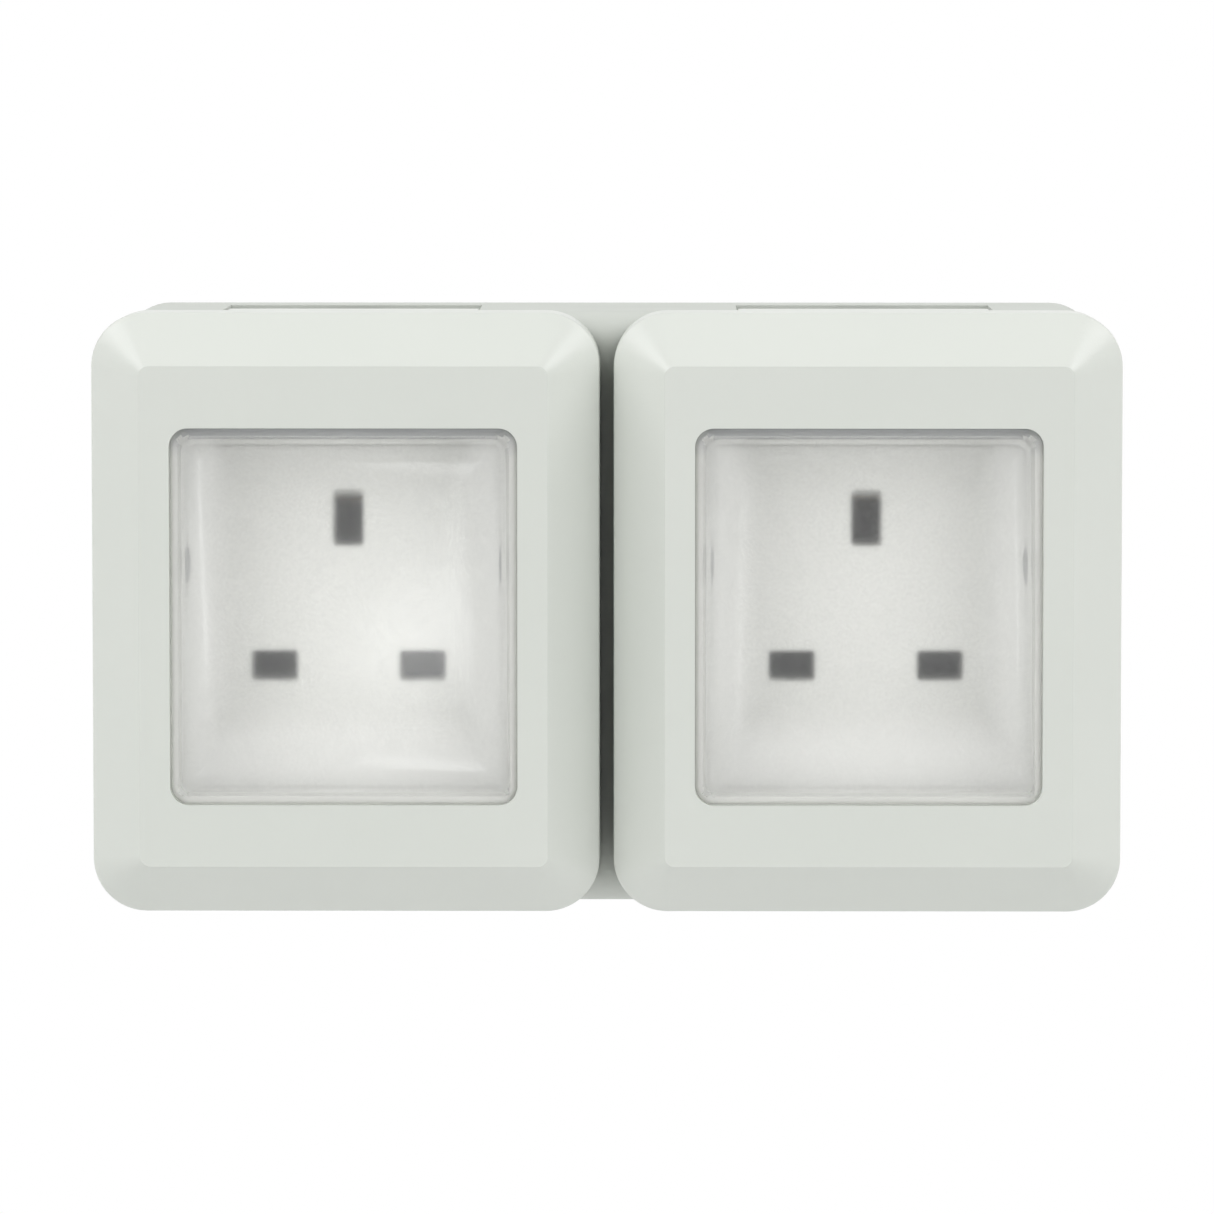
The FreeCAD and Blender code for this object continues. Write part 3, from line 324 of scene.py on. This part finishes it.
def firstLoop(form, row, look):
    # The edge of a rounded rectangle that faces the viewer, its sides cut so that they can wave
    made = bmesh.ops.create_grid(form, x_segments=1, y_segments=1, size=0.5)["verts"]
    bmesh.ops.scale(form, verts=made, vec=(2 * row["halfX"], 2 * row["halfZ"], 1))
    bmesh.ops.rotate(form, verts=made, matrix=Matrix.Rotation(math.radians(90), 3, "X"))
    bmesh.ops.translate(form, verts=made, vec=(0, row["y"], 0))
    bmesh.ops.bevel(
        form, geom=made, offset=row["radius"], affect="VERTICES", segments=look["cornerSegments"],
        profile=0.5, material=-1,
    )
    sides = sorted(form.edges, key=lambda e: e.calc_length())[-4:]
    bmesh.ops.subdivide_edges(form, edges=sides, cuts=look["sideCuts"])


def nextLoop(form, edges, row, after):
    # The same loop drawn out to the next row of the profile
    made = bmesh.ops.extrude_edge_only(form, edges=edges)["geom"]
    core = (row["halfX"] - row["radius"], row["halfZ"] - row["radius"])
    coreAfter = (after["halfX"] - after["radius"], after["halfZ"] - after["radius"])
    for vert in (v for v in made if isinstance(v, bmesh.types.BMVert)):
        x = max(-core[0], min(core[0], vert.co.x))
        z = max(-core[1], min(core[1], vert.co.z))
        grow = after["radius"] / row["radius"]
        vert.co = (
            x * coreAfter[0] / core[0] + (vert.co.x - x) * grow, after["y"],
            z * coreAfter[1] / core[1] + (vert.co.z - z) * grow,
        )
    return [e for e in made if isinstance(e, bmesh.types.BMEdge)]


def softShape(point, look, seed):
    # How far the soft skin sags and hangs back, and how far its bead wanders sideways
    across = 1 - (point.x / (look["width"] / 2 - look["sagMargin"])) ** 2
    along = 1 - (point.z / (look["height"] / 2 - look["sagMargin"])) ** 2
    shift = Vector((0, 0, 0))
    if across > 0 and along > 0:
        wave = noise.noise(Vector((point.x, point.z, seed / look["waveScale"])) * look["waveScale"])
        shift.y = look["sag"] * across * along * (1 + look["wave"] * wave)
    fromTop = look["height"] / 2 - point.z
    if fromTop < look["droop"]:
        share = look["droopShare"] * min(1.0, (look["droop"] - fromTop) / look["droopFade"])
        shift.y = max(0.0, look["droopTo"] - point.y) * share
    reach = look["width"] / 2 - look["wanderEnd"]
    if look["wanderFrom"] < point.x < reach:
        share = min(1.0, (point.x - look["wanderFrom"]) / look["fadeIn"], (reach - point.x) / look["fadeOut"])
        curve = noise.noise(Vector((seed, 0, point.z * look["wanderScale"])))
        lean = look["wanderMiddle"] - look["wanderCurve"] * curve - look["wanderLean"] * point.z
        shift.x = look["wander"] * share * lean
    return shift


def windowPiece(name, node, body, seed):
    look = windowSkin
    low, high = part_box(node)
    centreX = (low.x + high.x) / 2
    frontY = cadBounds[0][1]
    form = bmesh.new()
    rows = []
    for inward, behind, radius in look["profile"]:
        rows.append({
            "halfX": look["width"] / 2 - inward / 1000, "halfZ": look["height"] / 2 - inward / 1000,
            "y": frontY + behind / 1000, "radius": radius / 1000,
        })
    firstLoop(form, rows[0], look)
    edges = form.edges[:]
    for row, after in zip(rows, rows[1:]):
        edges = nextLoop(form, edges, row, after)
    bmesh.ops.contextual_create(form, geom=edges)
    for vert in form.verts:
        vert.co += softShape(vert.co, look, seed)
    bmesh.ops.translate(form, verts=form.verts, vec=(centreX, 0, 0))
    bmesh.ops.recalc_face_normals(form, faces=form.faces)
    mesh = bpy.data.meshes.new(name)
    form.to_mesh(mesh)
    form.free()
    paneHalf = (look["width"] / 2 - look["border"], look["height"] / 2 - look["border"])
    for face in mesh.polygons:
        face.use_smooth = True
        inPane = abs(face.center.x - centreX) < paneHalf[0] and abs(face.center.z) < paneHalf[1]
        face.material_index = 0 if inPane else 1
    piece = bpy.data.objects.new(name, mesh)
    scene.collection.objects.link(piece)
    piece.data.materials.append(finishes["window_membrane"])
    piece.data.materials.append(finishes["window_border"])
    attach(piece, body)
    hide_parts(node)


windowPiece("left_window_skin", "left_window", "left_lid", 3.1)
windowPiece("right_window_skin", "right_window", "right_lid", 8.7)
print("windows made")


# Stage, light and camera

def stageLook(look):
    material, tree, shader = newMaterial("palePaper")[:3]
    shader.inputs["Base Color"].default_value = (*look["paper"], 1)
    shader.inputs["Roughness"].default_value = look["rough"]
    glow = tree.nodes.new("ShaderNodeEmission")
    mix = tree.nodes.new("ShaderNodeMixShader")
    tree.links.new(seenDirectly(tree), mix.inputs[0])
    tree.links.new(shader.outputs["BSDF"], mix.inputs[1])
    tree.links.new(glow.outputs["Emission"], mix.inputs[2])
    output = next(n for n in tree.nodes if n.type == "OUTPUT_MATERIAL")
    tree.links.new(mix.outputs["Shader"], output.inputs["Surface"])
    return material


def seenDirectly(tree):
    # White where the camera looks, and in what mirrors or shows the surroundings
    path = tree.nodes.new("ShaderNodeLightPath")
    mirrored = mathNode(tree, "MAXIMUM", path.outputs["Is Glossy Ray"], path.outputs["Is Transmission Ray"])
    return mathNode(tree, "MAXIMUM", path.outputs["Is Camera Ray"], mirrored)


def makeFloor(look):
    mesh = bpy.data.meshes.new("floor")
    form = bmesh.new()
    bmesh.ops.create_grid(form, x_segments=1, y_segments=1, size=look["half"])
    bmesh.ops.translate(form, verts=form.verts, vec=(0, 0, look["z"]))
    form.to_mesh(mesh)
    form.free()
    floor = bpy.data.objects.new("floor", mesh)
    scene.collection.objects.link(floor)
    floor.data.materials.append(stageLook(look))


makeFloor({"half": 3.0, "z": -0.30, "paper": (0.88, 0.88, 0.88), "rough": 0.9})


def makeWorld(look):
    # White walls to the left and right, darker straight ahead and above, so that narrow gaps stay dark
    world = bpy.data.worlds.new("studio")
    scene.world = world
    world.use_nodes = True
    tree = world.node_tree
    tree.nodes.clear()
    output = tree.nodes.new("ShaderNodeOutputWorld")
    seen = tree.nodes.new("ShaderNodeBackground")
    seen.inputs["Color"].default_value = (1, 1, 1, 1)
    lit = tree.nodes.new("ShaderNodeBackground")
    coords = tree.nodes.new("ShaderNodeTexCoord")
    parts = separated(tree, coords.outputs["Generated"])
    sideways = mathNode(tree, "ABSOLUTE", parts["X"])
    rampNode = tree.nodes.new("ShaderNodeValToRGB")
    ramp = rampNode.color_ramp
    for index, (position, glow) in enumerate(look["walls"]):
        stop = ramp.elements[index] if index < 2 else ramp.elements.new(position)
        stop.position = position
        stop.color = (glow, glow, glow, 1)
    tree.links.new(sideways, rampNode.inputs["Fac"])
    tree.links.new(rampNode.outputs["Color"], lit.inputs["Color"])
    strength = smoothRange(tree, parts["Y"], look["turn"], (look["level"], look["behind"]))
    tree.links.new(strength, lit.inputs["Strength"])
    mix = tree.nodes.new("ShaderNodeMixShader")
    tree.links.new(seenDirectly(tree), mix.inputs[0])
    tree.links.new(lit.outputs["Background"], mix.inputs[1])
    tree.links.new(seen.outputs["Background"], mix.inputs[2])
    tree.links.new(mix.outputs["Shader"], output.inputs["Surface"])


# The walls give a share of the level by how far sideways a direction points,
# and the turn says between which depths the level falls to the one behind the object
makeWorld({
    "level": 2.60, "behind": 0.60, "turn": (-0.15, 0.35),
    "walls": [(0.26, 0.0), (0.34, 0.76), (0.50, 0.76), (0.60, 1.0), (0.80, 1.0), (0.90, 0.10)],
})


def softLamp(name, look):
    # The glow is the lamp's own brightness, where 1 is white
    data = bpy.data.lights.new(name, "AREA")
    data.shape = "RECTANGLE"
    data.size = look["width"]
    data.size_y = look["height"]
    data.energy = look["glow"] * math.pi * look["width"] * look["height"]
    lamp = bpy.data.objects.new(name, data)
    scene.collection.objects.link(lamp)
    place = Vector(look["place"])
    lamp.location = place
    lamp.rotation_euler = (Vector(look["aim"]) - place).to_track_quat("-Z", "Y").to_euler()
    lamp.rotation_euler.rotate_axis("Z", math.radians(look["twist"]))


for side, name in ((-1, "leftRim"), (1, "rightRim")):
    softLamp(name, {
        "place": (side * 0.74, 0.10, 0.72), "aim": (0, -0.05, 0), "width": 0.45, "height": 0.45,
        "glow": 3.4, "twist": 0,
    })
softLamp("sheenStrip", {
    "place": (-0.051, -1.25, -0.079), "aim": (-0.0388, -0.058, 0), "width": 0.022, "height": 0.085,
    "glow": 6.5, "twist": -46,
})


def makeCamera(view):
    data = bpy.data.cameras.new("camera")
    data.sensor_width = view["sensor"]
    data.lens = view["pixelFocal"] / view["pixelWidth"] * view["sensor"]
    data.clip_end = view["far"]
    camera = bpy.data.objects.new("camera", data)
    scene.collection.objects.link(camera)
    camera.location = view["place"]
    angles = (90 - view["down"], view["roll"], view["turn"])
    camera.rotation_euler = [math.radians(angle) for angle in angles]
    scene.camera = camera


makeCamera({
    "place": (0.01013, -1.14500, 0.08517), "down": 4.409, "turn": 0.528, "roll": 0.0,
    "pixelFocal": 7372.6, "pixelWidth": 1214, "sensor": 36.0, "far": 20.0,
})

scene.view_settings.view_transform = "Standard"
print("stage ready")
